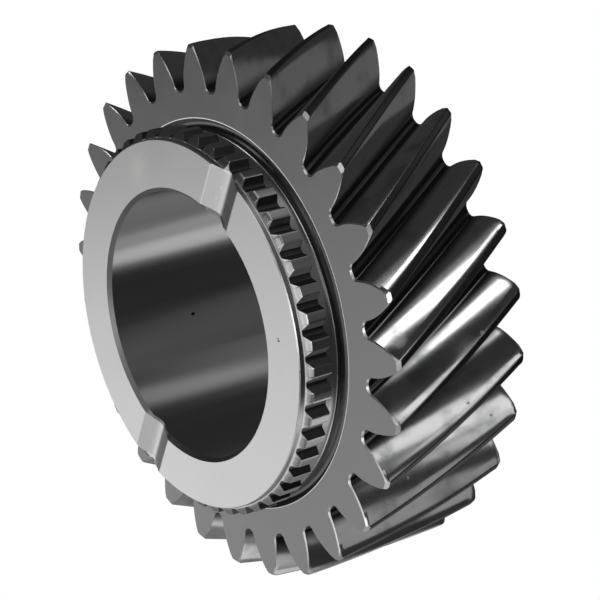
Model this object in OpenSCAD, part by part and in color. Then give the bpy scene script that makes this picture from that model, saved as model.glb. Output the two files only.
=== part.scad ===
// Transmission gear: one steel forging with a helical toothed rim, a ring of dog teeth
// behind a hub that ends in a ground thrust face, and a plain bore.
// Millimetres. The gear lies on its plain back face, +Z runs along the bore to the hub.

/* [Rim] */
// Diameter over the helical teeth
outer_d = 150; // [142:1:190]
// Width of the rim along the axis
face_w = 43.2; // [20:0.2:80]
// Number of helical teeth
tooth_count = 27; // [22:1:32]
// Height of a helical tooth from root to tip
tooth_depth = 12.5; // [9:0.1:14]
// Lean of the teeth at the middle of their height, left hand
helix_angle = 30.5; // [10:0.5:35]
// Pressure angle in the turning plane
pressure_angle = 24; // [20:0.5:26]
// Share of the pitch that is tooth at the middle of its height
tooth_share = 0.48; // [0.4:0.01:0.52]
// Radius at the foot of a tooth
root_radius = 1.9; // [0.8:0.1:3]
// Turn of the teeth at the back face, from the line of the notches
tooth_turn = 0.6; // [-6:0.1:6]
// Bevel on the tooth ends at the tip
tip_bevel = 0.9; // [0.2:0.1:2]

/* [Bore and hub] */
// Diameter of the bore
bore_d = 74.5; // [50:0.5:84]
// Bevel at both ends of the bore
bore_bevel = 1.1; // [0.3:0.1:2]
// Diameter of the thrust face
hub_d = 103; // [90:1:110]
// Height of the thrust face above the rim's front face
hub_rise = 13; // [8:0.5:30]
// Bevel round the thrust face
hub_bevel = 0.3; // [0.1:0.05:1]
// Step from the thrust face down to the front of the dog teeth
hub_step = 1.65; // [0.5:0.05:5]

/* [Dog teeth] */
// Number of dog teeth
dog_count = 48; // [30:1:60]
// Height of a dog tooth from root to tip
dog_depth = 2; // [1:0.1:4]
// Step from the hub out to the root of the dog teeth
dog_step = 0.5; // [0.2:0.05:2]
// Length of the dog teeth along the axis
dog_length = 6.9; // [4:0.1:20]
// Lead bevel on the front of the dog teeth, along the axis
dog_lead = 1; // [0.3:0.1:3]
// Share of the pitch that is tooth at the dog tooth's root
dog_root_share = 0.77; // [0.6:0.01:0.85]
// Share of the pitch that is tooth at the dog tooth's tip
dog_tip_share = 0.4; // [0.25:0.01:0.5]

/* [Groove behind the dog teeth] */
// Radial width of the groove from the neck to the rim's face
groove_w = 2.4; // [1:0.1:8]
// Depth of the groove below the rim's front face
groove_depth = 1.7; // [0.5:0.1:6]
// Height of the groove's upper edge on the neck above the rim's face
groove_lip = 1.1; // [0.3:0.1:3]
// Undercut of the groove into the neck
groove_bite = 0.4; // [0.1:0.1:1]
// Bevel round the groove's outer edge
groove_bevel = 0.5; // [0.1:0.1:1]

/* [Oil notches] */
// Width of the two notches across the thrust face
notch_w = 12.4; // [4:0.2:20]
// Depth of the notches
notch_depth = 2.3; // [0.5:0.1:5]
// Width of the rounded bottom of the notches
notch_round_w = 3.4; // [1:0.1:6]

/* [Hidden] */
// Part of the model to show

$fn = 120;
tip_r = outer_d / 2;
root_r = tip_r - tooth_depth;
mid_r = (tip_r + root_r) / 2 + tooth_depth * 0.06;
pitch_angle = 360 / tooth_count;
base_r = mid_r * cos(pressure_angle);
twist_angle = face_w * tan(helix_angle) / mid_r * 180 / PI;
least_land = 0.02;
flank_steps = 4;
foot_steps = 2;
slices = 6;

hub_r = hub_d / 2;
bore_r = bore_d / 2;
neck_r = hub_r + dog_step;
dog_r = neck_r + dog_depth;
top_z = face_w + hub_rise;
dog_top_z = top_z - hub_step;
dog_low_z = dog_top_z - dog_length;
dog_pitch = 360 / dog_count;
dog_seat = dog_step * 0.4;
dog_foot_share = dog_root_share + (dog_root_share - dog_tip_share) * dog_seat / dog_depth;
dog_lead_slope = dog_lead / (dog_depth - dog_seat / 2);
groove_out_r = neck_r + groove_w;
groove_in_r = neck_r - groove_bite;
web_r = (groove_out_r + groove_bevel + root_r) / 2;
web_seat = (root_r - web_r) / 4;
over = 1;

// Involute of an angle, in degrees
function inv_deg(a) = tan(a) * 180 / PI - a;

// Angle of the flank at a radius, measured from the middle of the tooth
function flank_angle(r) = max(pitch_angle * least_land,
    pitch_angle * tooth_share / 2 + inv_deg(pressure_angle)
    - inv_deg(acos(min(1, base_r / max(r, base_r)))));

// Half of one helical tooth from the tip down to the middle of the gap: [angle, radius]
foot_top_r = root_r + root_radius * 1.05;
half_gap = pitch_angle / 2;
foot_angle = flank_angle(foot_top_r);
flank = [for (i = [0 : flank_steps])
    let (r = tip_r + (foot_top_r - tip_r) * i / flank_steps)
    [flank_angle(r), r]];
foot = [for (i = [1 : foot_steps])
    let (t = i / (foot_steps + 1))
    [foot_angle + (half_gap - foot_angle) * (1 - cos(75 * t)) * 0.95,
     foot_top_r - (foot_top_r - root_r) * sin(90 * t)]];
half_tooth = concat(flank, foot);
steps = len(half_tooth);

// The whole outline, counter-clockwise, as [angle, radius]
outline = [for (k = [0 : tooth_count - 1]) each concat(
    [[k * pitch_angle - half_gap, root_r]],
    [for (i = [steps - 1 : -1 : 0]) [k * pitch_angle - half_tooth[i][0], half_tooth[i][1]]],
    [for (i = [0 : steps - 1]) [k * pitch_angle + half_tooth[i][0], half_tooth[i][1]]]
)];

// The toothed rim: the outline turned steadily as it rises, which gives the left hand helix
module toothed_rim() {
    intersection() {
        linear_extrude(height = face_w, twist = twist_angle, slices = slices, convexity = 12) {
            difference() {
                polygon([for (p = outline)
                    [p[1] * cos(p[0] + tooth_turn), p[1] * sin(p[0] + tooth_turn)]]);
                circle(r = web_r - web_seat, $fn = 2 * tooth_count);
            }
        }
        tip_bevels();
    }
}

// Turned outline of the rim, which bevels the tooth tips at both ends
module tip_bevels() {
    rotate_extrude() {
        polygon([
            [bore_r, -over],
            [tip_r - tip_bevel - over, -over],
            [tip_r + over, tip_bevel + over],
            [tip_r + over, face_w - tip_bevel - over],
            [tip_r - tip_bevel - over, face_w + over],
            [bore_r, face_w + over]
        ]);
    }
}

// Ring of dog teeth in the plane
module dog_outline() {
    polygon([for (k = [0 : dog_count - 1]) each [
        for (p = [
            [-dog_foot_share / 2, neck_r - dog_seat],
            [-dog_tip_share / 2, dog_r],
            [dog_tip_share / 2, dog_r],
            [dog_foot_share / 2, neck_r - dog_seat]
        ])
        let (a = (k + 0.5 + p[0]) * dog_pitch)
        [p[1] * cos(a), p[1] * sin(a)]
    ]]);
}

// The ring of dog teeth with the lead bevel on its front
module dog_ring() {
    intersection() {
        translate([0, 0, dog_low_z]) {
            linear_extrude(height = dog_length) dog_outline();
        }
        rotate_extrude() {
            polygon([
                [neck_r - 1.5 * dog_seat, dog_low_z - over],
                [dog_r + over, dog_low_z - over],
                [dog_r + over, dog_top_z - dog_lead - over * dog_lead_slope],
                [neck_r + dog_seat / 2, dog_top_z],
                [neck_r - 1.5 * dog_seat, dog_top_z]
            ]);
        }
    }
}

// Web inside the rim, neck below the dog teeth and hub in front of them
module hub_core() {
    rotate_extrude() {
        polygon([
            [bore_r - 2 * over, 0],
            [web_r, 0],
            [web_r, face_w],
            [neck_r, face_w],
            [neck_r, dog_top_z],
            [hub_r, dog_top_z],
            [hub_r, top_z - hub_bevel],
            [hub_r - hub_bevel, top_z],
            [bore_r - 2 * over, top_z]
        ]);
    }
}

// Plain bore with a bevel at each end
module bore_cut() {
    translate([0, 0, -over]) cylinder(r = bore_r, h = top_z + 2 * over);
    translate([0, 0, -over]) {
        cylinder(r1 = bore_r + bore_bevel + over, r2 = bore_r - over, h = bore_bevel + 2 * over);
    }
    translate([0, 0, top_z - bore_bevel - over]) {
        cylinder(r1 = bore_r - over, r2 = bore_r + bore_bevel + over, h = bore_bevel + 2 * over);
    }
}

// Run-out groove between the neck and the rim's front face
module groove_cut() {
    mid = (groove_in_r + groove_out_r) / 2;
    half = (groove_out_r - groove_in_r) / 2;
    rotate_extrude() {
        polygon([
            [groove_in_r, face_w + groove_lip],
            [groove_in_r, face_w - groove_depth * 0.4],
            [mid - half * 0.6, face_w - groove_depth * 0.85],
            [mid - half * 0.1, face_w - groove_depth],
            [mid + half * 0.4, face_w - groove_depth],
            [mid + half * 0.85, face_w - groove_depth * 0.8],
            [groove_out_r, face_w - groove_depth * 0.5],
            [groove_out_r, face_w - groove_bevel],
            [groove_out_r + groove_bevel, face_w],
            [groove_out_r + groove_bevel, face_w + groove_lip]
        ]);
    }
}

// Two opposite notches across the thrust face, along X
module notch_cut() {
    half = notch_w / 2;
    slope = notch_depth / (half - notch_round_w / 4);
    translate([-hub_r - over, 0, top_z]) rotate([90, 0, 90]) {
        linear_extrude(height = 2 * hub_r + 2 * over) {
            polygon([
                [-half - over, over * slope],
                [-notch_round_w / 2, -notch_depth + notch_round_w / 4 * slope],
                [-notch_round_w / 5, -notch_depth],
                [notch_round_w / 5, -notch_depth],
                [notch_round_w / 2, -notch_depth + notch_round_w / 4 * slope],
                [half + over, over * slope]
            ]);
        }
    }
}

// Web, hub and dog teeth with everything that is cut into them
module hub_body() {
    difference() {
        union() {
            hub_core();
            dog_ring();
        }
        bore_cut();
        groove_cut();
        notch_cut();
    }
}

module gear_body() {
    color([0.55, 0.56, 0.57]) union() {
        hub_body();
        toothed_rim();
    }
}

gear_body();
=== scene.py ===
# %% [markdown]
# # A transmission gear, finished for the camera
# The real part is one steel forging. Its helical teeth and its ring of small dog teeth are cut
# and ground, its thrust face is ground flat, and its bore is honed for needle rollers.
# The CAD part holds the sizes. Here the same body is worked out again as one fine mesh, with the
# small bevels and roundings that catch the light, and each machined surface gets its own steel.

# %% Load the CAD frame
import math

import bpy
import numpy as np
from mathutils import Matrix, Vector


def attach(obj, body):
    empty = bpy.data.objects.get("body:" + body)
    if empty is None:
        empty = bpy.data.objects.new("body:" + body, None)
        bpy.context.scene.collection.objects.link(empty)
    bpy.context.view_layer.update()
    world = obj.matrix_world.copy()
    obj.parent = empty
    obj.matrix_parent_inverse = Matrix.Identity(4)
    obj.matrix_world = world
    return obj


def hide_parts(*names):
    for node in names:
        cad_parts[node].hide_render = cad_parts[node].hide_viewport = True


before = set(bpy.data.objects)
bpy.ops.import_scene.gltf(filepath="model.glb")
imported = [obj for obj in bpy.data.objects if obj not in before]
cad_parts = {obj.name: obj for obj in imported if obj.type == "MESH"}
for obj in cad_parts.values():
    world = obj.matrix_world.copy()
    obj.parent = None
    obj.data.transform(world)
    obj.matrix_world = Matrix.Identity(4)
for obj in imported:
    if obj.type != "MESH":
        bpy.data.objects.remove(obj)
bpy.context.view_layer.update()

# %% [markdown]
# ## The camera
# The photograph shows the gear standing on its teeth, seen from the front and a little above.
# In the part's own frame the bore is upright, so the camera looks down from one side with a
# turned head. Its place, turn and lens come from fitting the tooth tips, the bore and the hub.

# %% Camera
SENSOR_MM = 36.0
LENS_MM = 117.57
CAMERA_MM = (339.26, -302.81, 336.90)
CAMERA_TURN = (-20.738, 51.979, -67.218)      # degrees about X, Y and Z
NEAREST_M, FURTHEST_M = 0.02, 30.0

lens = bpy.data.cameras.new("photo_camera")
lens.sensor_width = SENSOR_MM
lens.lens = LENS_MM
lens.clip_start = NEAREST_M
lens.clip_end = FURTHEST_M
camera = bpy.data.objects.new("photo_camera", lens)
camera.location = [c / 1000 for c in CAMERA_MM]
camera.rotation_euler = [math.radians(a) for a in CAMERA_TURN]
bpy.context.collection.objects.link(camera)
bpy.context.scene.camera = camera
print("camera's distance from the back face's middle in mm:", round(math.hypot(*CAMERA_MM)))

# %% [markdown]
# ## Sizes
# The gear is 150 mm over its teeth. These values are the ones in the CAD part's source, so that
# the fine mesh and the CAD body are the same shape. Only the hub's bevel is a hair narrower, to
# match the line of light round the thrust face. Angles are kept in radians.

# %% Sizes in millimetres, the same as in the CAD part
TIP_R, ROOT_R, FACE_W = 75.0, 62.5, 43.2
MID_R = 69.5
TEETH, DOGS = 27, 48
HELIX, PRESSURE = math.radians(30.5), math.radians(24.0)
TOOTH_SHARE = 0.48                            # of the pitch, at the middle radius
TOOTH_TURN = math.radians(0.6)                # of the teeth against the notches
TIP_BEVEL = 0.9
BORE_R, BORE_BEVEL = 37.25, 1.1
HUB_R, TOP_Z, HUB_BEVEL = 51.5, FACE_W + 13.0, 0.28
DOG_ROOT_R, DOG_TIP_R = 52.0, 54.0
DOG_TOP_Z, DOG_LOW_Z = TOP_Z - 1.65, TOP_Z - 8.55
DOG_LEAD = 0.5                                # the dog fronts drop by this for each mm outwards
NOTCH_HALF, NOTCH_DEPTH = 6.2, 2.3
print("thrust face at height:", TOP_Z, " dog teeth from", round(DOG_LOW_Z, 2), "to",
      round(DOG_TOP_Z, 2))

# %% [markdown]
# ## One closed grid
# A gear with a bore is a ring, and its whole skin can be wrapped by one grid: columns go round
# the bore, and rows go up the bore, out over the hub, down the dog teeth, across the rim, down
# the helical teeth and back along the underside. Both ways the grid meets itself, so the mesh is
# closed without any seam. Each row is three arrays: a radius, an angle and a height per column.
# 864 columns give 32 to each of the 27 helical teeth and 18 to each of the 48 dog teeth.

# %% Columns and rows
COLUMNS = 864
PER_TOOTH, PER_DOG = COLUMNS // TEETH, COLUMNS // DOGS
column = np.arange(COLUMNS)
turn = 2 * np.pi * column / COLUMNS
rows = []


def add_row(region, radius, angle, height):
    """Adds one row of the grid. Each value is one number for the whole row, or one per column."""
    full = np.ones(COLUMNS)
    rows.append((region, radius * full, angle * full, height * full))


print("columns per helical tooth:", PER_TOOTH, " per dog tooth:", PER_DOG)

# %% [markdown]
# ## The helical tooth
# A tooth flank is an involute: the path of the end of a taut string unwound from a circle. Seen
# from the gear's centre, the flank at radius r has turned by tan(a) - a, where cos(a) is the
# string circle's radius over r.


# %% Involute flank
def involute(a):
    """Turn of the involute at pressure angle a: the tangent of a, less a."""
    return np.tan(a) - a


def flank_angle(r):
    """Half of the tooth's angle at radius r: its value at the middle, less what the involute
    has turned since there."""
    base = MID_R * math.cos(PRESSURE)
    a = np.arccos(np.minimum(1.0, base / r))
    return np.pi / TEETH * TOOTH_SHARE + involute(PRESSURE) - involute(a)


print("half a tooth at the middle radius in degrees:",
      round(math.degrees(float(flank_angle(np.array(MID_R)))), 2))

# %% [markdown]
# Half a tooth is written as 16 steps: tip land, rounded corner, flank, and a quarter ellipse at
# the foot. The other half is its mirror image. The rounded foot is what carries the load in the
# real tooth, and it also keeps the valley from showing a hard crease.

# %% Half of a helical tooth
FOOT_R = 64.45                                # the involute ends here and the foot begins
CORNER, CORNER_DROP = 0.30, 0.09              # rounding between the tip land and the flank
CORNER_DEPTH = CORNER * 1.1                   # the flank starts this far below the tip
FLANK_STEPS = 7
FOOT_STEPS = np.radians([22, 44, 66, 84])
FOOT_SHARE, FLOOR_SHARE = 0.86, 0.1           # of half the gap at the foot

half_gap = math.pi / TEETH
foot_half = float(flank_angle(np.array(FOOT_R)))
land = float(flank_angle(np.array(TIP_R))) * TIP_R
land_steps = [0.0, land * 0.5, land - CORNER, land - CORNER_DROP]
CORNER_STEP = len(land_steps)                 # the first step that lies on the flank

half_r = np.concatenate([
    [TIP_R, TIP_R, TIP_R, TIP_R - CORNER_DROP],
    np.linspace(TIP_R - CORNER_DEPTH, FOOT_R, FLANK_STEPS),
    FOOT_R - (FOOT_R - ROOT_R) * np.sin(FOOT_STEPS),
    [ROOT_R, ROOT_R],
])
half_a = np.concatenate([
    np.array(land_steps) / TIP_R,
    flank_angle(half_r[CORNER_STEP:CORNER_STEP + FLANK_STEPS]),
    foot_half + (half_gap - foot_half) * FOOT_SHARE * (1 - np.cos(FOOT_STEPS)),
    [half_gap - (half_gap - foot_half) * FLOOR_SHARE, half_gap],
])
print("steps in half a tooth:", len(half_r) - 1, " tip land mm:", round(2 * land, 2))

# %% [markdown]
# Every column belongs to one tooth. The helix turns each tooth by 1.6 pitches over the width, so
# a tooth whose middle stands at pitch 2 on the back face comes out near column 14 in front. There
# the columns of the teeth run straight on into the columns of the hub.

# %% Which tooth a column belongs to
TWIST = FACE_W * math.tan(HELIX) / MID_R
FIRST_MIDDLE = 14                             # column of the first tooth's middle in front
FIRST_PITCH = 2                               # its place on the back face

local = (column - FIRST_MIDDLE + PER_TOOTH // 2) % PER_TOOTH - PER_TOOTH // 2
tooth = (column - FIRST_MIDDLE - local) // PER_TOOTH
centre_low = 2 * math.pi / TEETH * (tooth + FIRST_PITCH) + TOOTH_TURN
tooth_r = half_r[np.abs(local)]
tooth_a = np.sign(local) * half_a[np.abs(local)]
print("turn of the helix in degrees:", round(math.degrees(TWIST), 2))

# %% [markdown]
# The outline is needed at many heights, and near the ends also a little smaller, for the bevels.
# Moving each point against the curve's normal keeps a bevel equally wide all round the tooth.

# %% The outline at a height
LAND_SPREAD = np.array([0.0, 0.35, 0.7, 0.9])  # even steps from the land's middle to its corner


def outline(inset, height):
    """The toothed outline at a height, moved into the metal by inset, as radius and angle.
    It is turned by the helix, and moved against the normal of the closed curve."""
    x, y = tooth_r * np.cos(centre_low + tooth_a), tooth_r * np.sin(centre_low + tooth_a)
    dx, dy = np.roll(x, -1) - np.roll(x, 1), np.roll(y, -1) - np.roll(y, 1)
    size = np.hypot(dx, dy)
    x, y = x - inset * dy / size, y + inset * dx / size
    r = np.hypot(x, y)
    a = centre_low + (np.arctan2(y, x) - centre_low + np.pi) % (2 * np.pi) - np.pi
    return r, a - TWIST * height / FACE_W


def inner_outline(inset, height):
    """The outline moved inwards, with the tip land's columns spread evenly between its two
    corners, so that no column crosses the next where the corner is tighter than the inset."""
    r, a = outline(inset, height)
    middle = centre_low - TWIST * height / FACE_W
    at_corner = np.abs(np.where(np.abs(local) == CORNER_STEP, a - middle, 0.0)).max()
    spread = LAND_SPREAD[np.minimum(np.abs(local), CORNER_STEP - 1)]
    even = middle + np.sign(local) * at_corner * spread
    return r, np.where(np.abs(local) < CORNER_STEP, even, a)


def base_angle(height):
    """Even columns under each tooth, turned with the helix."""
    even = local * 2 * np.pi / COLUMNS
    return centre_low + even - TWIST * height / FACE_W


print("outline in front in mm:", round(float(outline(0.0, FACE_W)[0].min()), 2), "to",
      round(float(outline(0.0, FACE_W)[0].max()), 2))

# %% [markdown]
# ## The dog teeth
# The 48 dog teeth lock the gear to its shaft through a sliding sleeve. They have straight flanks,
# a rounded gap and a lead bevel that guides the sleeve on. Half a tooth takes 9 steps, each at a
# share of the pitch from the tooth's middle.

# %% Outline of the dog teeth
dog_share = np.array([0.0, 0.10, 0.165, 0.196, 0.214, 0.285, 0.352, 0.388, 0.43, 0.5])
dog_radius = np.array([DOG_TIP_R, DOG_TIP_R, DOG_TIP_R, 53.94, 53.78, 53.08, 52.40, 52.12,
                       DOG_ROOT_R, DOG_ROOT_R])
dog_local = (column + PER_DOG // 2) % PER_DOG - PER_DOG // 2      # 0 in the middle of a gap
dog_step = PER_DOG // 2 - np.abs(dog_local)
dog_pitch = 2 * math.pi / DOGS
dog_r = dog_radius[dog_step]
dog_a = (column - dog_local) / PER_DOG * dog_pitch
dog_a = dog_a + np.sign(dog_local) * (0.5 - dog_share[dog_step]) * dog_pitch
print("dog pitch at the tip in mm:", round(dog_pitch * DOG_TIP_R, 2))

# %% [markdown]
# ## The oil notches
# Two V notches with a rounded valley cross the thrust face along X. So that their long edges come
# out straight, the columns near X run parallel to it on the thrust face, and the others make room.

# %% Notches
NOTCH_COLUMNS = 19                            # columns from a notch's middle to its edge
VALLEY = 0.9                                  # how far from the middle the valley is round


def beside_x(r):
    """Column angles at radius r with the columns near X kept at a constant distance from X:
    the arc sine of that distance over r. Past the notch the angles go on evenly to Y."""
    edge = NOTCH_COLUMNS * 2 * np.pi / COLUMNS
    reach = NOTCH_HALF / math.sin(edge)
    half_turn = np.round(turn / np.pi) * np.pi
    off = turn - half_turn
    a = np.abs(off)
    near = np.arcsin(np.minimum(1.0, reach * np.sin(np.minimum(a, edge)) / r))
    out = near + np.maximum(a - edge, 0) * (np.pi / 2 - math.asin(NOTCH_HALF / r)) / (
        np.pi / 2 - edge)
    return half_turn + np.sign(off) * out


def notched(r, angle, height):
    """The height, lowered to the notch where that is deeper. The notch is a hyperbola: straight
    flanks that meet in a rounded valley."""
    y = np.abs(r * np.sin(angle))
    slope = NOTCH_DEPTH / (math.hypot(NOTCH_HALF, VALLEY) - VALLEY)
    return np.minimum(height, TOP_Z - NOTCH_DEPTH + slope * (np.hypot(y, VALLEY) - VALLEY))


def add_notched(region, r, angle, height):
    """Adds a row that the notches cut."""
    add_row(region, r, angle, notched(r, angle, height))


print("notch depth in its middle in mm:", round(float(TOP_Z - notched(45.0, 0.0, TOP_Z)), 2))

# %% [markdown]
# ## The rows
# Now the rows are laid down in order, from the back edge of the bore to the edge of the hub. Next
# to each edge stands a close row, so that the bevel between them stays narrow and the faces
# beside it stay flat.

# %% Bore and thrust face
BORE_HEIGHTS = [BORE_BEVEL, 1.5, 9.0, 17.0, 25.0, 33.0, 41.0, 48.0, 53.5]
THRUST_RADII = [BORE_R + BORE_BEVEL, BORE_R + BORE_BEVEL + 0.15, 40.5, 42.5, 44.5, 46.5, 48.5,
                50.3, HUB_R - HUB_BEVEL - 0.1]
HUB_FOOT = 0.15                               # the hub's side ends this far above the dog teeth

add_row("bevel", BORE_R + BORE_BEVEL, beside_x(BORE_R + BORE_BEVEL), 0.0)
for z in BORE_HEIGHTS:
    add_row("bore", BORE_R, beside_x(BORE_R), z)
add_notched("bore_edge", BORE_R, beside_x(BORE_R), TOP_Z - BORE_BEVEL)
for r in THRUST_RADII:
    add_notched("thrust", r, beside_x(r), TOP_Z)
add_notched("bevel", HUB_R - HUB_BEVEL, beside_x(HUB_R), TOP_Z)
add_notched("hub_side", HUB_R, beside_x(HUB_R), TOP_Z - HUB_BEVEL)
add_notched("hub_side", HUB_R, beside_x(HUB_R), DOG_TOP_Z + HUB_FOOT)
print("rows so far:", len(rows))

# %% [markdown]
# The dog teeth start as a flat step round the hub. Their fronts slope back towards the tips, and
# their rear ends stand free over the neck, which is turned a little smaller than their feet.

# %% Dog teeth
EDGE, EDGE_DROP = 0.10, 0.13                  # the narrow bevel round the ends of the dog teeth
DOG_HEIGHTS = [DOG_TOP_Z - 2.1, DOG_TOP_Z - 4.3, DOG_LOW_Z + 0.35, DOG_LOW_Z + 0.12]
STEP_RADII = [HUB_R + 0.12, DOG_ROOT_R - 0.15]  # the flat step round the hub

lead = DOG_TOP_Z - DOG_LEAD * np.maximum(dog_r - DOG_ROOT_R, 0.0)
for r in STEP_RADII:
    add_notched("dog", r, dog_a, DOG_TOP_Z)
add_notched("dog", dog_r - EDGE, dog_a, lead)
add_notched("dog", dog_r, dog_a, lead - EDGE_DROP)
for z in DOG_HEIGHTS:
    add_row("dog", dog_r, dog_a, z)
add_row("dog", dog_r - EDGE, dog_a, DOG_LOW_Z)
print("height of the dog fronts:", round(float(lead.min()), 2), "to", round(float(lead.max()), 2))

# %% [markdown]
# Between the neck and the rim a lathe tool has cut a groove, so that the dog cutter can run out.
# Its section is a list of radii and heights above the rim's face, and both its edges are bevelled.

# %% Neck and groove
NECK_TOP_R, NECK_TOP_Z = DOG_ROOT_R - 0.16, DOG_LOW_Z - 0.05
NECK_SECTION = [(51.86, 2.6), (51.88, 1.6)]
INNER_EDGE, OUTER_EDGE = [(51.98, 1.24)], [(55.00, -0.02)]
GROOVE_SECTION = [(52.08, 1.10), (51.92, 0.75), (51.72, 0.3), (51.66, -0.2), (51.78, -0.8),
                  (52.10, -1.32), (52.60, -1.58), (53.20, -1.64), (53.75, -1.48),
                  (54.20, -1.12), (54.45, -0.70), (54.58, -0.38), (54.78, -0.14)]

add_row("neck", NECK_TOP_R, dog_a, NECK_TOP_Z)
for part, section in [("neck", NECK_SECTION), ("bevel", INNER_EDGE), ("groove", GROOVE_SECTION),
                      ("bevel", OUTER_EDGE)]:
    for r, rise in section:
        add_row(part, r, turn, FACE_W + rise)
print("deepest point of the groove in mm:", min(rise for _, rise in GROOVE_SECTION))

# %% [markdown]
# Across the rim the even columns of the hub blend into the columns of the teeth, which are turned
# a little. Then a narrow bevel, wider at the feet, leads onto the flanks. In front the tips have
# a slanted bevel too.

# %% Rim face and helical teeth
RIM_ROWS = [(55.22, 0.0), (55.4, 0.05), (57.5, 0.4), (59.5, 0.75), (61.3, 1.0)]
FLANK_HEIGHTS = np.linspace(FACE_W - 1.15, 1.75, 22)
FRONT_EDGE, FOOT_GROWTH = 0.24, 0.20          # bevel on the flanks, and what the foot adds
FOOT_FROM, FOOT_OVER = 9, 4                   # in steps from the tooth's middle

for r, blend in RIM_ROWS:
    add_row("rim", r, turn + blend * (base_angle(FACE_W) - turn), FACE_W)
front_edge = FRONT_EDGE + FOOT_GROWTH * np.clip((np.abs(local) - FOOT_FROM) / FOOT_OVER, 0, 1)
r, a = inner_outline(front_edge, FACE_W)
add_row("edge", np.minimum(r, TIP_R - TIP_BEVEL), a, FACE_W)
front_z = np.minimum(FACE_W - front_edge, FACE_W - (tooth_r - (TIP_R - TIP_BEVEL)))
r, a = outline(0.0, front_z)
add_row("flank", r, a, front_z)
for z in FLANK_HEIGHTS:
    r, a = outline(0.0, z)
    add_row("flank", r, a, z)
print("front bevel in mm:", round(front_edge.min(), 2), "to", round(front_edge.max(), 2))

# %% [markdown]
# At the back the ends of the teeth are rounded by a quarter circle, which grows towards the tip.
# The plain back face closes the ring, and its columns turn back to those of the bore.

# %% Rounded rear ends and back face
TIP_ZONE = 1.7                                # the rounding grows over this depth below the tip
BACK_EDGE, BACK_EDGE_GROWTH = 0.5, 0.85
REAR_STEPS = np.radians([0.0, 25.0, 45.0, 67.0, 90.0])  # along the quarter circle
BACK_ROWS = [(61.2, 1.0), (56.0, 0.8), (50.0, 0.5), (44.0, 0.2), (38.6, 0.0)]

near_tip = np.clip((tooth_r - (TIP_R - TIP_ZONE)) / TIP_ZONE, 0, 1)
back_edge = BACK_EDGE + BACK_EDGE_GROWTH * near_tip ** 2 * (3 - 2 * near_tip)
for t in REAR_STEPS:
    z = back_edge * (1 - math.sin(t))
    r, a = inner_outline(back_edge * (1 - math.cos(t)), z)
    add_row("back" if t == REAR_STEPS[-1] else "flank", r, a, z)
for r, blend in BACK_ROWS:
    add_row("back", r, turn + blend * (base_angle(0.0) - turn), 0.0)
print("rows:", len(rows), " faces:", len(rows) * COLUMNS)

# %% [markdown]
# ## From rows to a mesh
# The rows become one array of points. Face (i, j) joins point j of row i to the next column and
# the next row, and both counts wrap round.


# %% Mesh of a closed grid
def grid_mesh(name, points):
    """A closed mesh from points[row, column]: each quad takes the four neighbours, and the last
    row and column join the first."""
    count, width = points.shape[:2]
    i, j = np.meshgrid(np.arange(count), np.arange(width), indexing="ij")
    k, m = (i + 1) % count, (j + 1) % width
    quads = np.stack([i * width + j, k * width + j, k * width + m, i * width + m], axis=-1)
    mesh = bpy.data.meshes.new(name)
    mesh.vertices.add(count * width)
    mesh.vertices.foreach_set("co", points.reshape(-1))
    mesh.loops.add(quads.size)
    mesh.loops.foreach_set("vertex_index", quads.reshape(-1))
    mesh.polygons.add(count * width)
    mesh.polygons.foreach_set("loop_start", np.arange(0, quads.size, 4))
    mesh.update(calc_edges=True)
    return mesh


radius = np.array([row[1] for row in rows])
angle = np.array([row[2] for row in rows])
height = np.array([row[3] for row in rows])
points = np.stack([radius * np.cos(angle), radius * np.sin(angle), height], axis=-1)
gear_mesh = grid_mesh("gear_skin", points / 1000)
print("points:", points.shape, " had to be mended:", gear_mesh.validate())

# %% [markdown]
# The volume is a good test of a closed mesh. It comes out above 0 only if the faces point
# outwards, and close to the CAD body's 508,144 cubic millimetres only if the shapes agree.


# %% Volume
def grid_volume(points):
    """Volume inside a closed grid: a sixth of the sum, over both triangles of each quad, of the
    first corner's product with the cross product of the other two. Outward faces make it more
    than 0."""
    down, across = np.roll(points, -1, axis=0), np.roll(points, -1, axis=1)
    far = np.roll(down, -1, axis=1)
    return float((points * (np.cross(down, far) + np.cross(far, across))).sum() / 6)


print("volume in cubic mm:", round(grid_volume(points)))

# %% [markdown]
# The mesh is shaded smooth, and edges that turn by more than 28 degrees stay sharp, so a bevel of
# a tenth of a millimetre reads as a crisp line. The piece stands for the CAD body in every view
# and rides on the part's only body.

# %% The gear in the scene
SHARP_FROM = math.radians(28)

gear = bpy.data.objects.new("gear_skin", gear_mesh)
bpy.context.collection.objects.link(gear)
gear_mesh.shade_smooth()
gear_mesh.set_sharp_from_angle(angle=SHARP_FROM)
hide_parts("gear_body")
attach(gear, "root")
print("points:", len(gear_mesh.vertices), " triangles:", 2 * len(gear_mesh.polygons))

# %% [markdown]
# ## What the steel reflects
# The photograph's bright bands run aslant over the flanks, along the lines where an involute's
# normal stays the same, so each flank shows the studio's lights themselves. With the next tooth
# mirrored in it as well, a flank would break up into thin lines along the tooth. So the gear is
# left out of its own mirror images, and the dark feet and gap sides are painted shade in their
# colour.

# %% Reflections of the studio alone
gear.visible_glossy = False
print("the gear shows in its own mirror images:", gear.visible_glossy)

# %% [markdown]
# ## Steel
# The whole gear is bare alloy steel, so it is all metal: the base colour is the colour of its
# reflections, close to a neutral light grey. What differs is how each face was machined. A rougher
# finish spreads a reflection, a smoother one keeps it sharp. A pattern that follows Object
# coordinates stays on the metal from every side, and in millimetres its scale is a real size.


# %% Colours and nodes
def linear(hex_colour):
    """sRGB hex to linear: divide by 12.92 near black, otherwise a power of 2.4."""
    c = np.array([int(hex_colour[i:i + 2], 16) / 255 for i in (1, 3, 5)])
    c = np.where(c <= 0.04045, c / 12.92, ((c + 0.055) / 1.055) ** 2.4)
    return (*c.tolist(), 1.0)


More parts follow.
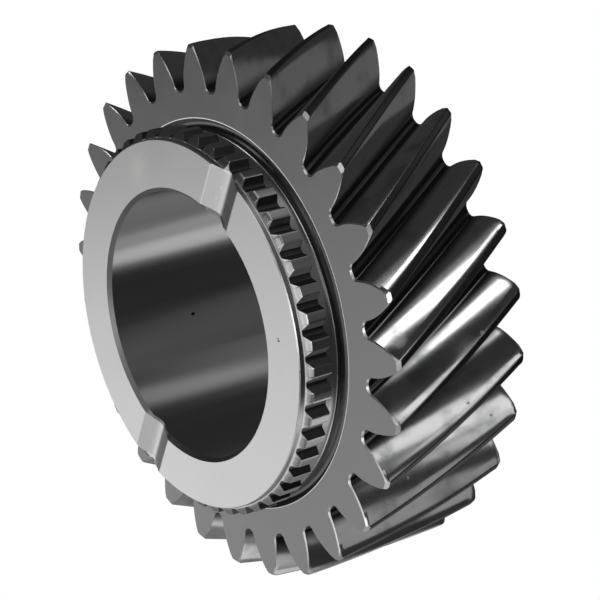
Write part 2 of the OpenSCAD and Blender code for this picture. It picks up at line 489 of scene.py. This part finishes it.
def add_node(tree, kind, inputs=(), **settings):
    """Adds a node. inputs maps a socket to a value, or to another node's output."""
    node = tree.nodes.new(kind)
    for key, value in settings.items():
        setattr(node, key, value)
    for key, value in dict(inputs).items():
        if isinstance(value, bpy.types.NodeSocket):
            tree.links.new(value, node.inputs[key])
        else:
            node.inputs[key].default_value = value
    return node


print("half bright sRGB grey is linear", round(linear("#808080")[0], 3))

# %% [markdown]
# Each finish starts as an empty material and ends in the metal shader, with all colour in its
# reflections. What lies between them is worked out for each kind of steel below.


# %% First and last nodes of a metal
def new_metal(name):
    """An empty material, its node tree, and Object coordinates turned into millimetres."""
    material = bpy.data.materials.new(name)
    material.use_nodes = True
    tree = material.node_tree
    tree.nodes.clear()
    place = add_node(tree, "ShaderNodeTexCoord")
    mm = add_node(tree, "ShaderNodeVectorMath", {0: place.outputs["Object"], "Scale": 1000.0},
                  operation="SCALE")
    return material, tree, mm.outputs[0]


def finish_metal(tree, colour, roughness, normal=None):
    """The metal shader. Colour, roughness and normal are each a value or another node's output."""
    inputs = {"Base Color": colour, "Metallic": 1.0, "Roughness": roughness}
    if normal is not None:
        inputs["Normal"] = normal
    shader = add_node(tree, "ShaderNodeBsdfPrincipled", inputs)
    add_node(tree, "ShaderNodeOutputMaterial", {"Surface": shader.outputs["BSDF"]})


print("helpers for the ends of a metal:", new_metal.__name__, finish_metal.__name__)

# %% [markdown]
# A pattern wears the colour and the roughness in the same places, and a mark sits at one spot.
# The distance from the axis is what a lathe follows, and it also places the painted shade at the
# feet of the teeth.


# %% Wear, rings and marks
def worn(tree, pattern, darker, lighter, smoother, rougher):
    """Turns one noise pattern into a colour between two greys and a roughness between two
    values. Noise stays mostly between 0.3 and 0.7, so that range spans the roughness."""
    colour = add_node(tree, "ShaderNodeMix", {0: pattern, 6: linear(darker), 7: linear(lighter)},
                      data_type="RGBA")
    satin = add_node(tree, "ShaderNodeMapRange", {
        "Value": pattern, "From Min": 0.3, "From Max": 0.7, "To Min": smoother,
        "To Max": rougher})
    return colour.outputs[2], satin.outputs["Result"]


def distance_from_axis(tree, mm):
    """Distance from the bore's axis: the length of the place once its height is set to 0."""
    flat = add_node(tree, "ShaderNodeVectorMath", {0: mm, 1: (1.0, 1.0, 0.0)},
                    operation="MULTIPLY")
    length = add_node(tree, "ShaderNodeVectorMath", {0: flat.outputs[0]}, operation="LENGTH")
    return length.outputs["Value"]


def mark(tree, mm, place, size, soft=0.4):
    """A mask for one mark: 1 inside an ellipsoid of that size round its place, and fading to 0
    at its edge. It is the length of (point - place) / size, turned into a soft step."""
    offset = add_node(tree, "ShaderNodeVectorMath", {0: mm, 1: place}, operation="SUBTRACT")
    scaled = add_node(tree, "ShaderNodeVectorMath", {0: offset.outputs[0], 1: size},
                      operation="DIVIDE")
    reach = add_node(tree, "ShaderNodeVectorMath", {0: scaled.outputs[0]}, operation="LENGTH")
    step = add_node(tree, "ShaderNodeMapRange", {
        "Value": reach.outputs["Value"], "From Min": 1.0, "From Max": 1.0 - soft,
        "To Min": 0.0, "To Max": 1.0}, interpolation_type="SMOOTHSTEP")
    return step.outputs["Result"]


print("helpers for its surface:", worn.__name__, distance_from_axis.__name__, mark.__name__)

# %% [markdown]
# ## Ground thrust face
# The thrust face was ground flat on a rotary grinder. The grit leaves lines finer than a pixel, so
# the eye sees an even satin grey with broad, barely lighter patches. The photograph also shows a
# small pit, a faint lighter patch, and two nicks beside a notch. Each is a mask at its place.

# %% Colour of the ground thrust face
PATCH_MM = 16
LIGHTER_PATCH_MM, LIGHTER_PATCH_SIZE_MM = (29.0, 33.5, 56.2), (7.5, 6.5, 1.0)
NICKS_MM, NICK_SIZE_MM = [(46.0, 1.8, 54.3), (42.3, 2.4, 54.5)], (0.7, 0.45, 0.6)

ground, tree, mm = new_metal("ground_thrust_steel")
patches = add_node(tree, "ShaderNodeTexNoise", {"Vector": mm, "Scale": 1 / PATCH_MM,
                                                "Detail": 3.0})
shade, satin = worn(tree, patches.outputs["Fac"], "#C9C9C9", "#D9D9D9", 0.36, 0.42)
# a soft lighter patch on the face, mixed in most where the broad patches are light
lighter_patch = add_node(tree, "ShaderNodeMath", {
    0: mark(tree, mm, LIGHTER_PATCH_MM, LIGHTER_PATCH_SIZE_MM, soft=0.9), 1: patches.outputs["Fac"]},
    operation="MULTIPLY")
shade = add_node(tree, "ShaderNodeMix", {0: lighter_patch.outputs[0], 6: shade,
                                         7: linear("#E6E6E4")}, data_type="RGBA").outputs[2]
for nick in NICKS_MM:
    light = mark(tree, mm, nick, NICK_SIZE_MM)
    shade = add_node(tree, "ShaderNodeMix", {0: light, 6: shade, 7: linear("#DEDEDC")},
                     data_type="RGBA").outputs[2]
print("nicks beside the notch:", len(NICKS_MM))

# %% [markdown]
# The pit is a real dent to the light: a bump turned inwards, 0.4 mm deep. On top of it lies the
# grit, a hundredth of a millimetre high, which keeps the satin from looking painted.

# %% Pit and grit on the thrust face
PIT_MM, PIT_SIZE_MM = (25.2, -35.5, 56.2), (0.62, 0.62, 0.62)
PIT_DEPTH_M, GRIT_DEPTH_M = 0.0004, 0.00001
GRIT_MM = 0.5                                 # real grit lines are near 0.1, too fine to show

grit = add_node(tree, "ShaderNodeTexNoise", {"Vector": mm, "Scale": 1 / GRIT_MM, "Detail": 2.0})
dent = add_node(tree, "ShaderNodeBump", {
    "Height": mark(tree, mm, PIT_MM, PIT_SIZE_MM, soft=0.7), "Distance": PIT_DEPTH_M,
    "Strength": 1.0}, invert=True)
relief = add_node(tree, "ShaderNodeBump", {
    "Height": grit.outputs["Fac"], "Distance": GRIT_DEPTH_M, "Strength": 0.35,
    "Normal": dent.outputs["Normal"]})
finish_metal(tree, shade, satin, relief.outputs["Normal"])
print("nodes in", ground.name, ":", len(tree.nodes))

# %% [markdown]
# ## Honed bore
# Honing stones leave the bore nearly as smooth as a mirror, so the room shows in it as long soft
# bands that run along the axis. Faint lengthwise streaks come from oil wiped along the bore: noise
# that is stretched 40 times along Z. One dark speck sits on the far wall.

# %% Honed steel
STREAK_MM, STREAK_STRETCH = 3.5, 40
SPECK_MM, SPECK_SIZE_MM = (-25.9, 26.8, 28.9), (0.6, 0.6, 0.8)

honed, tree, mm = new_metal("honed_bore_steel")
along = add_node(tree, "ShaderNodeMapping", {"Vector": mm,
                                             "Scale": (1.0, 1.0, 1 / STREAK_STRETCH)})
streaks = add_node(tree, "ShaderNodeTexNoise", {"Vector": along.outputs[0],
                                                "Scale": 1 / STREAK_MM, "Detail": 4.0})
shade, satin = worn(tree, streaks.outputs["Fac"], "#ABABAB", "#BCBCBC", 0.17, 0.22)
shade = add_node(tree, "ShaderNodeMix", {0: mark(tree, mm, SPECK_MM, SPECK_SIZE_MM), 6: shade,
                                         7: linear("#242424")}, data_type="RGBA").outputs[2]
finish_metal(tree, shade, satin)
print("nodes in", honed.name, ":", len(tree.nodes))

# %% [markdown]
# ## Turned rim face
# The front of the rim and the back face were turned on a lathe, before hardening darkened them.
# The tool's feed leaves rings round the axis, about 0.3 mm apart. They are noise that depends on
# the radius alone, drawn twice as coarse as real so that some of it shows.

# %% Turned steel
CLOUD_MM, RING_MM = 9, 0.6
RING_DEPTH_M = 0.00002

turned, tree, mm = new_metal("turned_rim_steel")
clouds = add_node(tree, "ShaderNodeTexNoise", {"Vector": mm, "Scale": 1 / CLOUD_MM,
                                               "Detail": 4.0})
shade, satin = worn(tree, clouds.outputs["Fac"], "#7E7E7E", "#8E8E8E", 0.39, 0.45)
rings = add_node(tree, "ShaderNodeTexNoise", {
    "W": distance_from_axis(tree, mm), "Scale": 1 / RING_MM, "Detail": 2.0},
    noise_dimensions="1D")
relief = add_node(tree, "ShaderNodeBump", {"Height": rings.outputs["Fac"],
                                           "Distance": RING_DEPTH_M, "Strength": 0.4})
finish_metal(tree, shade, satin, relief.outputs["Normal"])
print("nodes in", turned.name, ":", len(tree.nodes))

# %% [markdown]
# ## Ground tooth flanks
# The flanks are ground after hardening and run in, so they are the smoothest faces outside. Their
# colour blends from dark at the foot of the tooth to bright between two radii: painted shade for
# the black valleys between the teeth. A thin film of oil leaves cloudy patches.

# %% Colour of the ground flanks
# painted shade at the feet of the teeth fades out between these two radii
FOOT_SHADE_FROM_R, FOOT_SHADE_TO_R = 64.0, 68.0

flank, tree, mm = new_metal("ground_flank_steel")
clouds = add_node(tree, "ShaderNodeTexNoise", {"Vector": mm, "Scale": 1 / CLOUD_MM,
                                               "Detail": 5.0})
film = add_node(tree, "ShaderNodeMapRange", {
    "Value": clouds.outputs["Fac"], "From Min": 0.50, "From Max": 0.72, "To Min": 0.0,
    "To Max": 1.0})
foot_shade = add_node(tree, "ShaderNodeMapRange", {
    "Value": distance_from_axis(tree, mm), "From Min": FOOT_SHADE_FROM_R, "From Max": FOOT_SHADE_TO_R,
    "To Min": 0.0, "To Max": 1.0}, interpolation_type="SMOOTHSTEP")
oily = add_node(tree, "ShaderNodeMix", {0: film.outputs["Result"], 6: linear("#CCCCCC"),
                                        7: linear("#9EA0A0")}, data_type="RGBA")
# painted shade: the colour is dark at the foot of each tooth and bright above it
shade = add_node(tree, "ShaderNodeMix", {0: foot_shade.outputs["Result"], 6: linear("#4A4A4A"),
                                         7: oily.outputs[2]}, data_type="RGBA")
# the radii printed here are where the painted shade at the feet fades out
print("ground down to a radius of", FOOT_SHADE_FROM_R, "to", FOOT_SHADE_TO_R, "mm")

# %% [markdown]
# Where oil has dried on two of the teeth the flank is hazy, and a few short scratches catch light.
# Both are simply rougher than the ground steel round them, by an amount that fades to their edges.

# %% Haze and scratches on the flanks
FILM_MM = [((39.8, -60.0, 39.6), (3.2, 3.4, 3.2)), ((35.5, -64.0, 20.2), (5.5, 5.5, 6.5))]
SCRATCHES_MM = [((38.5, -63.6, 14.0), (0.5, 1.2, 1.1)), ((-1.7, -70.5, 30.4), (1.3, 0.5, 0.3)),
                ((21.1, -70.4, 18.1), (0.6, 0.5, 0.6)), ((12.4, -70.2, 6.3), (0.5, 0.5, 0.5))]
HAZE, SCRATCH = 0.34, 0.25                    # how much rougher each of them is

satin = add_node(tree, "ShaderNodeMapRange", {
    "Value": clouds.outputs["Fac"], "From Min": 0.35, "From Max": 0.72, "To Min": 0.13,
    "To Max": 0.19})
rough = satin.outputs["Result"]
for place, size in FILM_MM:
    patch = add_node(tree, "ShaderNodeMath", {0: mark(tree, mm, place, size, soft=1.0),
                                              1: clouds.outputs["Fac"]}, operation="MULTIPLY")
    rough = add_node(tree, "ShaderNodeMath", {0: patch.outputs[0], 1: HAZE, 2: rough},
                     operation="MULTIPLY_ADD").outputs[0]
for place, size in SCRATCHES_MM:
    rough = add_node(tree, "ShaderNodeMath", {0: mark(tree, mm, place, size), 1: SCRATCH,
                                              2: rough}, operation="MULTIPLY_ADD").outputs[0]
finish_metal(tree, shade.outputs[2], rough)
print("nodes in", flank.name, ":", len(tree.nodes))

# %% [markdown]
# ## Milled dog teeth, worn edges, dark skin and painted shade
# The dog teeth, the neck and the side of the hub are milled and turned, and a little duller. Every
# edge of the gear has been broken with a brush, which leaves it brighter and cleaner than the
# faces: a near-white line that outlines the teeth and the hub. No tool touches the tip lands after
# hardening, so they keep the furnace's dark skin. The same dark steel is painted shade in the
# groove and in the gaps between the dog teeth.
# The three differ only in grain size, detail, colour and roughness.


# %% Milled, brushed and hardened steel
def plain_steel(name, grain_mm, detail, darker, lighter, smoother, rougher):
    """A metal with nothing on it but one noise pattern, whose grains are grain_mm wide."""
    material, tree, mm = new_metal(name)
    grain = add_node(tree, "ShaderNodeTexNoise", {"Vector": mm, "Scale": 1 / grain_mm,
                                                  "Detail": detail})
    shade, satin = worn(tree, grain.outputs["Fac"], darker, lighter, smoother, rougher)
    finish_metal(tree, shade, satin)
    print("nodes in", name, ":", len(tree.nodes))
    return material


milled = plain_steel("milled_dog_steel", 12, 1.0, "#B5B5B5", "#C4C4C4", 0.22, 0.24)
brushed = plain_steel("brushed_edge_steel", 2.5, 3.0, "#D0D0D0", "#E8E8E8", 0.26, 0.36)
# dark skin on the tip lands, and painted shade in the groove and in the gaps between the dog teeth
dark_skin_and_shade = plain_steel("dark_skin_and_painted_shade_steel", 3, 4.0, "#4A4A4A", "#666666", 0.28, 0.36)

# %% [markdown]
# Each row of the grid takes the finish of its region. On the helical teeth the columns of the tip
# land take the dark skin instead. The columns of the gaps on the dog teeth take the same dark steel
# as painted shade, except on the first two rows, which are the bright front of the ring. The
# groove's dark steel is painted shade as well.

# %% Finishes on the rows
FRONT_ROWS, LAND_COLUMNS, GAP_COLUMNS = 2, 3, 6

# the groove's dark steel is painted shade
finish = {"thrust": ground, "bore": honed, "rim": turned, "back": turned, "groove": dark_skin_and_shade,
          "flank": flank, "dog": milled, "neck": milled, "hub_side": milled,
          "bore_edge": turned, "edge": brushed, "bevel": brushed}
metals = [ground, honed, turned, flank, milled, brushed, dark_skin_and_shade]
for metal in metals:
    gear_mesh.materials.append(metal)
region = np.array([row[0] for row in rows])
slot = np.array([[metals.index(finish[name])] * COLUMNS for name in region])
land_columns = (local >= -LAND_COLUMNS) & (local < LAND_COLUMNS)
slot[np.ix_(region == "flank", land_columns)] = metals.index(dark_skin_and_shade)
dog_rows = np.flatnonzero(region == "dog")[FRONT_ROWS:]
# the gaps between the dog teeth take the dark steel as painted shade
gap_columns = (dog_local >= -GAP_COLUMNS) & (dog_local < GAP_COLUMNS)
slot[np.ix_(dog_rows, gap_columns)] = metals.index(dark_skin_and_shade)
gear_mesh.polygons.foreach_set("material_index", slot.reshape(-1).astype("i"))
print("faces of each finish:", {m.name: int((slot == i).sum()) for i, m in enumerate(metals)})

# %% [markdown]
# ## Floor and background
# The photograph was taken on white. The floor is a plane of even white light under the gear, and
# the world is white for the camera only. Metal shows whatever surrounds it, so reflections see a
# dark room instead, with grey only from far below, where the table would be. To place the room
# and its lights as the photographer would, a function turns their directions into the gear's.

# %% Directions in the photograph
UP_TURN = math.radians(22.8)                  # upright in the photograph, measured from +X
AXIS_AZIMUTH = math.radians(-128.0)           # the thrust face looks left, towards the viewer


def photo_direction(azimuth, elevation):
    """A direction as the photographer would name it: azimuth 0 straight behind the gear, 90 to
    its right and 180 at the camera; elevation 90 overhead. It is the sine of the elevation
    upright, and its cosine shared between the bore's axis and the line square to it."""
    a, e = math.radians(azimuth) - AXIS_AZIMUTH, math.radians(elevation)
    up = np.array([math.cos(UP_TURN), math.sin(UP_TURN), 0.0])
    side = np.array([-math.sin(UP_TURN), math.cos(UP_TURN), 0.0])
    axis = np.array([0.0, 0.0, 1.0])
    return math.sin(e) * up + math.cos(e) * (math.cos(a) * axis + math.sin(a) * side)


print("upright in the photograph is", photo_direction(0, 90).round(3))

# %% [markdown]
# The floor glows by itself, so no lamp has to light it and it stays evenly white. It is left out
# of reflections and shadows, because the dark room below stands for the table there.

# %% Floor
FLOOR_HALF, FLOOR_Z = 3.0, -0.0002            # a hair below the back face, in metres

floor_mesh = bpy.data.meshes.new("floor")
floor_mesh.from_pydata([(x, y, FLOOR_Z) for x, y in [
    (-FLOOR_HALF, -FLOOR_HALF), (FLOOR_HALF, -FLOOR_HALF), (FLOOR_HALF, FLOOR_HALF),
    (-FLOOR_HALF, FLOOR_HALF)]], [], [(0, 1, 2, 3)])
floor = bpy.data.objects.new("floor", floor_mesh)
bpy.context.collection.objects.link(floor)
paper = bpy.data.materials.new("white_paper")
paper.use_nodes = True
tree = paper.node_tree
tree.nodes.clear()
glow = add_node(tree, "ShaderNodeEmission", {"Color": linear("#FFFFFF"), "Strength": 1.0})
add_node(tree, "ShaderNodeOutputMaterial", {"Surface": glow.outputs["Emission"]})
floor_mesh.materials.append(paper)
floor.visible_glossy = False
floor.visible_shadow = False
print("floor in metres:", 2 * FLOOR_HALF, "square")

# %% [markdown]
# The room's light depends only on how far up or down a direction points, which is its product
# with the upright direction: nearly black above, and a soft grey from steeply below.

# %% World
TABLE_BELOW, ROOM_ABOVE = -0.8, -0.45         # sine of the elevation where each begins
TABLE_LIGHT, ROOM_LIGHT = 0.26, 0.04

world = bpy.data.worlds.new("studio")
bpy.context.scene.world = world
world.use_nodes = True
tree = world.node_tree
tree.nodes.clear()
outward = add_node(tree, "ShaderNodeTexCoord")
rise = add_node(tree, "ShaderNodeVectorMath", {
    0: outward.outputs["Generated"], 1: photo_direction(0, 90).tolist()}, operation="DOT_PRODUCT")
room_light = add_node(tree, "ShaderNodeMapRange", {
    "Value": rise.outputs["Value"], "From Min": TABLE_BELOW, "From Max": ROOM_ABOVE,
    "To Min": TABLE_LIGHT, "To Max": ROOM_LIGHT}, interpolation_type="SMOOTHSTEP")
room = add_node(tree, "ShaderNodeBackground", {"Color": linear("#FFFFFF"),
                                               "Strength": room_light.outputs["Result"]})
white = add_node(tree, "ShaderNodeBackground", {"Color": linear("#FFFFFF"), "Strength": 1.0})
path = add_node(tree, "ShaderNodeLightPath")
mix = add_node(tree, "ShaderNodeMixShader", {
    0: path.outputs["Is Camera Ray"], 1: room.outputs[0], 2: white.outputs[0]})
add_node(tree, "ShaderNodeOutputWorld", {"Surface": mix.outputs[0]})
print("room light:", ROOM_LIGHT, "above,", TABLE_LIGHT, "below")

# %% [markdown]
# ## Lights
# Soft boxes stand 2 m away. Each is given as the photographer would place it, with how many
# degrees wide and tall it looks from the gear, and how bright it is beside the white paper. Steel
# mirrors them, so a light's shape and place matter more than its power.

# %% Soft box
LIGHT_DISTANCE = 2.0                          # in metres, as is the gear's middle
GEAR_MIDDLE = np.array([0.0, 0.0, 0.027])


def soft_box(name, azimuth, elevation, wide, tall, brightness):
    """An area light that faces the gear. Its sides are 2 d tan(half the angle), and its power is
    brightness times pi times its area, so it looks as bright as the number says."""
    light = bpy.data.lights.new(name, "AREA")
    light.shape = "ELLIPSE"
    light.size = 2 * LIGHT_DISTANCE * math.tan(math.radians(wide / 2))
    light.size_y = 2 * LIGHT_DISTANCE * math.tan(math.radians(tall / 2))
    light.energy = brightness * math.pi * math.pi * light.size * light.size_y / 4
    lamp = bpy.data.objects.new(name, light)
    back = Vector(photo_direction(azimuth, elevation))
    up = Vector(photo_direction(0, 90))
    across = up.cross(back).normalized()
    lamp.matrix_world = Matrix((across, back.cross(across), back)).transposed().to_4x4()
    lamp.location = GEAR_MIDDLE + np.array(back) * LIGHT_DISTANCE
    lamp.visible_camera = False
    bpy.context.collection.objects.link(lamp)


print("soft boxes stand", LIGHT_DISTANCE, "m from the gear's middle")

# %% [markdown]
# The small bright box overhead draws the white bands on the right hand flanks, with a faint halo
# round it. Those high in front draw the grey bands on the flanks below.

# %% Lights for the flanks
soft_box("overhead_core", -43, 62.5, 13, 14, 2.6)
soft_box("overhead_halo", -40, 60, 24, 26, 0.18)
soft_box("high_left_fill", -141, 46, 50, 26, 0.8)
soft_box("high_front_box", 160, 52, 16, 14, 0.8)
soft_box("high_front_fill", 178, 64, 26, 14, 1.1)
print("lights:", len(bpy.data.lights))

# %% [markdown]
# The thrust face and the rim look to the left, so the boxes on the left light them. The two in
# front light the sloping fronts of the dog teeth and the bevels at the tips.

# %% Lights for the front faces
soft_box("front_left_fill", -138, 0, 60, 44, 0.9)
soft_box("front_box", -165, 4, 26, 26, 1.6)
soft_box("left_fill", -80, -28, 56, 28, 0.86)
soft_box("middle_left_fill", -100, -5, 30, 20, 0.22)
soft_box("low_left_fill", -112, -24, 40, 50, 0.36)
soft_box("low_left_box", -58, -32, 30, 26, 0.5)
print("lights:", len(bpy.data.lights))

# %% [markdown]
# The lowest teeth show what is in front of the table: one dim box at the height of the gear and
# two below it.

# %% Lights for the lowest teeth
soft_box("front_right_fill", 162, 15, 20, 34, 0.34)
soft_box("front_low_fill", -176, -40, 50, 20, 0.42)
soft_box("under_front_fill", 165, -63, 50, 24, 0.6)
print("lights:", len(bpy.data.lights))

# %% [markdown]
# The wall of the bore that we see looks to the right. The boxes low and high on that side draw
# its long soft bands, and dim ones between and behind them keep the dark parts from going black.

# %% Lights for the bore and the dog teeth
soft_box("low_right_box", 93, -41, 20, 14, 0.8)
soft_box("low_back_right_box", 78, -52, 18, 8, 0.32)
soft_box("high_right_box", 70, 57, 20, 8, 0.42)
soft_box("high_back_right_fill", 62, 46, 50, 20, 0.18)
soft_box("right_fill", 104, 26, 16, 44, 0.1)
soft_box("right_front_box", 132, 31, 24, 30, 0.4)
soft_box("back_glow", 45, -5, 32, 24, 0.1)
bpy.context.scene.view_settings.view_transform = "Standard"
print("lights:", len(bpy.data.lights))
